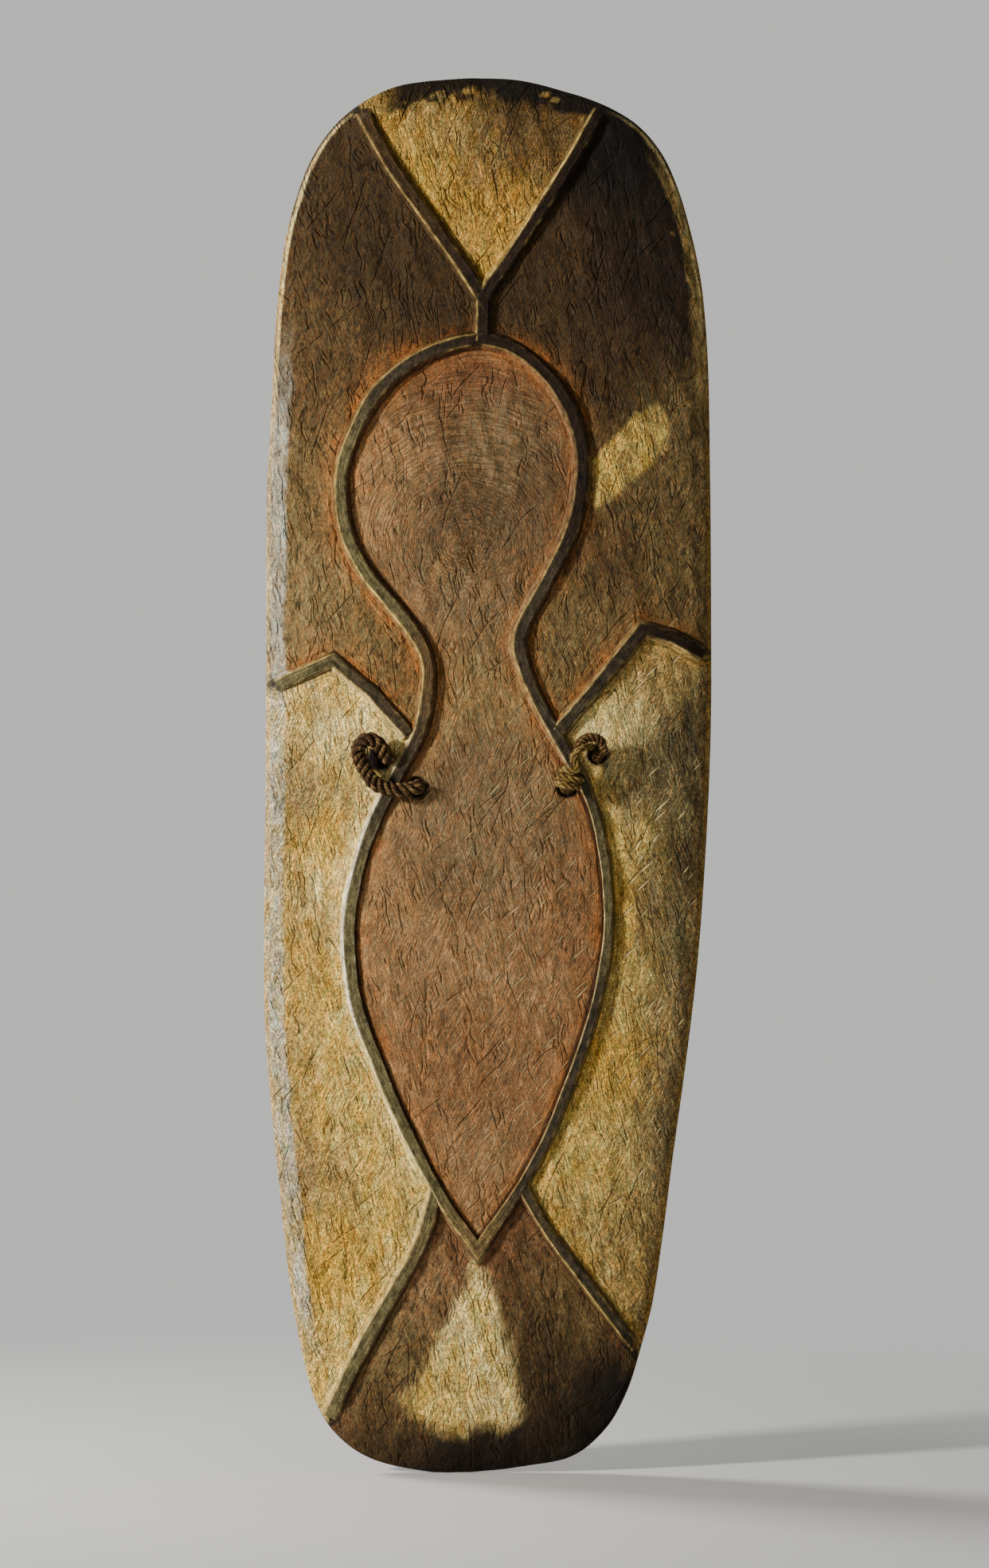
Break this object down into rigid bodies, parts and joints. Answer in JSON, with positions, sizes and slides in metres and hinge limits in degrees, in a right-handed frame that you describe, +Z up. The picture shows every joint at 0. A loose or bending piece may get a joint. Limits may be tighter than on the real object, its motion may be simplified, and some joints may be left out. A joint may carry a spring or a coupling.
{
  "type": "war shield",
  "caption": "Long convex carved plank shield with raised ridges on its painted face and a laid rope laced through holes as a carrying sling.",
  "frame": {"origin": "middle of the flat patch of the plank's back, level with the lacing holes", "axes": "+Z up along the plank, -Y out of the painted face, +X to the right of someone who looks at the face"},
  "size_m": [0.4809, 0.0893, 1.501],
  "materials": {
    "painted_wood": "adzed wood with worn earth pigments",
    "fibre_rope": "dark laid plant fibre",
    "fibre_strand": "pale opened fibre strand"
  },
  "bodies": {
    "board": {"shield_plank": "painted_wood", "rope_front_right_end": "fibre_rope", "rope_end_whipping": "fibre_strand", "rope_upper_left_passage": "fibre_rope", "rope_lower_left_passage": "fibre_rope", "rope_upper_right_passage": "fibre_rope", "rope_lower_right_passage": "fibre_rope"},
    "left_loop": {"rope_front_left_loop": "fibre_rope"},
    "upper_run": {"rope_upper_back_run": "fibre_rope"},
    "lower_run": {"rope_lower_back_run": "fibre_rope"}
  },
  "joints": [
    {"name": "left_loop_rock", "type": "hinge", "parent": "board", "child": "left_loop", "pos_m": [-0.107, -0.0283, 0.019], "axis": [-0.7071, 0, 0.7071], "range_deg": [0, 60]},
    {"name": "upper_run_swing", "type": "hinge", "parent": "board", "child": "upper_run", "pos_m": [0, 0.0113, 0.019], "axis": [1, 0, 0], "range_deg": [0, 110]},
    {"name": "lower_run_swing", "type": "hinge", "parent": "board", "child": "lower_run", "pos_m": [0, 0.0113, -0.013], "axis": [1, 0, 0], "range_deg": [0, 110]}
  ]
}
